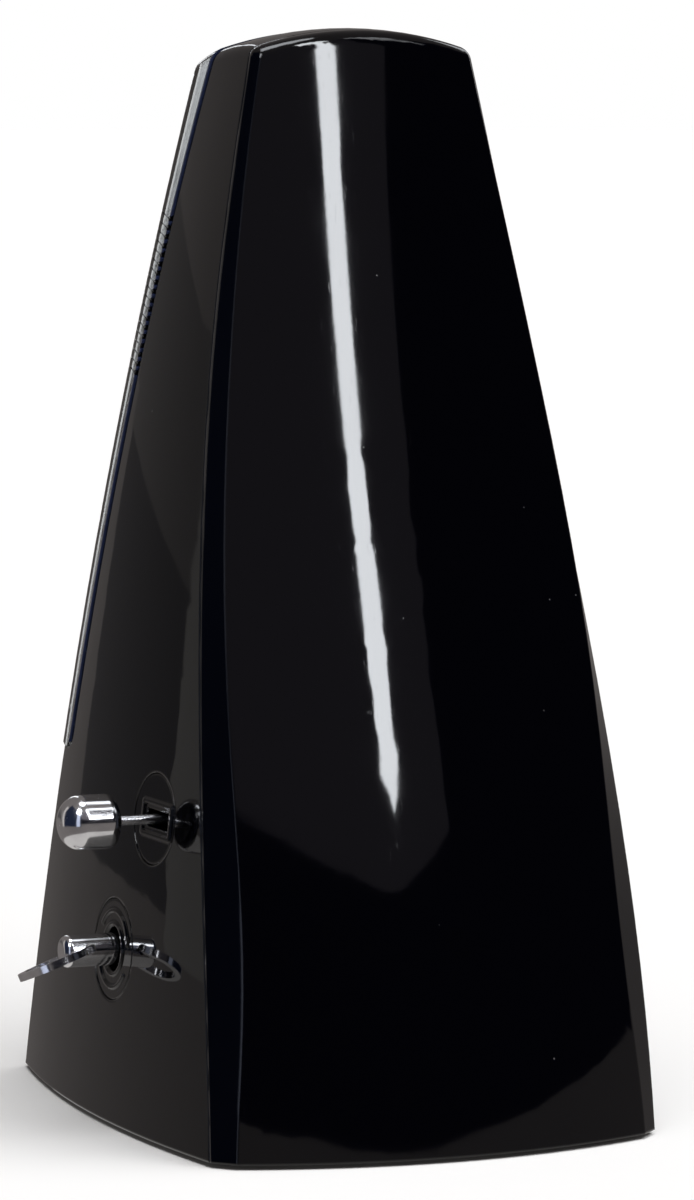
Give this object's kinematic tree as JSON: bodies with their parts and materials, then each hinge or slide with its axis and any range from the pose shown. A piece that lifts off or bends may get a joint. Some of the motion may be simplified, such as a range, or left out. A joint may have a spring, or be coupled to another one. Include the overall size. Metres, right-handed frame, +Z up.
{
  "type": "pyramid metronome",
  "caption": "Wind-up pyramid metronome: bowed gloss black case, clear front cover, pendulum, side winding key and bell selector knob.",
  "frame": {"origin": "centre of the case's foot, on the surface that the rubber feet stand on", "axes": "+Z up to the dome, -Y out of the front with the scale and pendulum, +X out of the side with the key and knob"},
  "size_m": [0.1242, 0.1272, 0.221],
  "materials": {
    "gloss_black": "high-gloss moulded plastic",
    "clear_cover": "clear plastic with a slight smoky tint",
    "matte_black": "fine matt moulded plastic",
    "foot_rubber": "soft rubber",
    "scale_face": "satin silver paint with dark print",
    "zinc_steel": "zinc plated",
    "steel": "turned steel",
    "spring_steel": "blued spring steel",
    "chrome": "bright chrome",
    "brass": "stamped brass",
    "weight_metal": "nickel plated",
    "cast_weight": "rough casting",
    "bell_metal": "polished steel"
  },
  "bodies": {
    "case": {"front_shell": "gloss_black", "rear_shell": "gloss_black", "base_plate": "matte_black", "base_screws": "zinc_steel", "rubber_feet": "foot_rubber", "movement_screws": "zinc_steel", "scale_plate": "scale_face", "scale_screws": "zinc_steel", "pendulum_rest": "matte_black", "right_plate": "brass", "left_plate": "brass", "plate_pillars": "brass", "pillar_screws": "zinc_steel", "pendulum_bridge": "brass", "click_screw": "zinc_steel", "click_spring": "spring_steel", "bell": "bell_metal", "bell_stud": "steel", "bell_nut": "zinc_steel", "selector_detent": "spring_steel", "key_plate": "gloss_black", "selector_plate": "gloss_black"},
    "cover": {"front_cover": "clear_cover"},
    "winding": {"winding_arbor": "steel", "key_stem": "chrome", "ratchet_wheel": "steel"},
    "key_bail": {"key_ring": "chrome"},
    "click_lever": {"click": "steel"},
    "barrel": {"great_wheel_barrel": "brass", "barrel_lid": "brass", "mainspring": "spring_steel"},
    "intermediate": {"intermediate_arbor": "steel", "intermediate_wheel": "brass"},
    "escape": {"escape_arbor": "steel", "escape_wheel": "brass"},
    "cam": {"cam_arbor": "steel", "beat_cams": "brass"},
    "pendulum": {"pendulum_arbor": "steel", "pallets": "steel", "pendulum_hub": "brass", "pendulum_rod": "steel", "pendulum_bob": "cast_weight", "bob_rivets": "steel"},
    "sliding_weight": {"tempo_weight": "weight_metal", "weight_leaf_spring": "spring_steel"},
    "hammer": {"hammer_arbor": "steel", "bell_hammer": "brass", "hammer_spring": "spring_steel"},
    "follower": {"cam_follower": "brass"},
    "selector": {"selector_knob": "chrome", "selector_rod": "steel", "selector_fork": "brass"}
  },
  "joints": [
    {"name": "cover_tilt", "type": "hinge", "parent": "case", "child": "cover", "pos_m": [0, -0.04574, 0.07258], "axis": [1, 0, 0], "range_deg": [0, 35]},
    {"name": "winding_turn", "type": "hinge", "parent": "case", "child": "winding", "pos_m": [0, 0.0075, 0.0358], "axis": [1, 0, 0], "continuous": true},
    {"name": "key_ring_fold", "type": "hinge", "parent": "winding", "child": "key_bail", "pos_m": [0.05682, 0.0075, 0.0358], "axis": [0, 0.9703, 0.2419], "range_deg": [-120, 78]},
    {"name": "click_lift", "type": "hinge", "parent": "case", "child": "click_lever", "pos_m": [0, 0.00046, 0.04904], "axis": [1, 0, 0], "range_deg": [0, 12], "stiffness_Nm_per_rad": 0.0005, "springref_deg": -11.46},
    {"name": "barrel_turn", "type": "hinge", "parent": "case", "child": "barrel", "pos_m": [0, 0.0075, 0.0358], "axis": [1, 0, 0], "continuous": true},
    {"name": "intermediate_turn", "type": "hinge", "parent": "case", "child": "intermediate", "pos_m": [0, 0.00078, 0.06216], "axis": [1, 0, 0], "continuous": true},
    {"name": "escape_turn", "type": "hinge", "parent": "case", "child": "escape", "pos_m": [0, -0.02117, 0.05244], "axis": [1, 0, 0], "continuous": true},
    {"name": "cam_turn", "type": "hinge", "parent": "case", "child": "cam", "pos_m": [0, 0.01641, 0.07527], "axis": [1, 0, 0], "continuous": true},
    {"name": "pendulum_swing", "type": "hinge", "parent": "case", "child": "pendulum", "pos_m": [0, -0.0413, 0.05901], "axis": [0, -0.9825, 0.1865], "range_deg": [-11, 11]},
    {"name": "weight_slide", "type": "slide", "parent": "pendulum", "child": "sliding_weight", "axis": [0, 0.1865, 0.9825], "range_m": [-0.05, 0.013]},
    {"name": "hammer_lift", "type": "hinge", "parent": "case", "child": "hammer", "pos_m": [0, 0.033, 0.072], "axis": [1, 0, 0], "range_deg": [0, 12], "stiffness_Nm_per_rad": 0.004, "springref_deg": -11.46},
    {"name": "follower_shift", "type": "slide", "parent": "hammer", "child": "follower", "axis": [1, 0, 0], "range_m": [-0.0072, 0]},
    {"name": "selector_pull", "type": "slide", "parent": "case", "child": "selector", "axis": [1, 0, 0], "range_m": [-0.0072, 0]}
  ],
  "couplings": [
    {"joint": "intermediate_turn", "follows": "barrel_turn", "ratio": -7.5},
    {"joint": "escape_turn", "follows": "barrel_turn", "ratio": 22.5},
    {"joint": "cam_turn", "follows": "barrel_turn", "ratio": 56.25},
    {"joint": "follower_shift", "follows": "selector_pull", "ratio": 1}
  ]
}
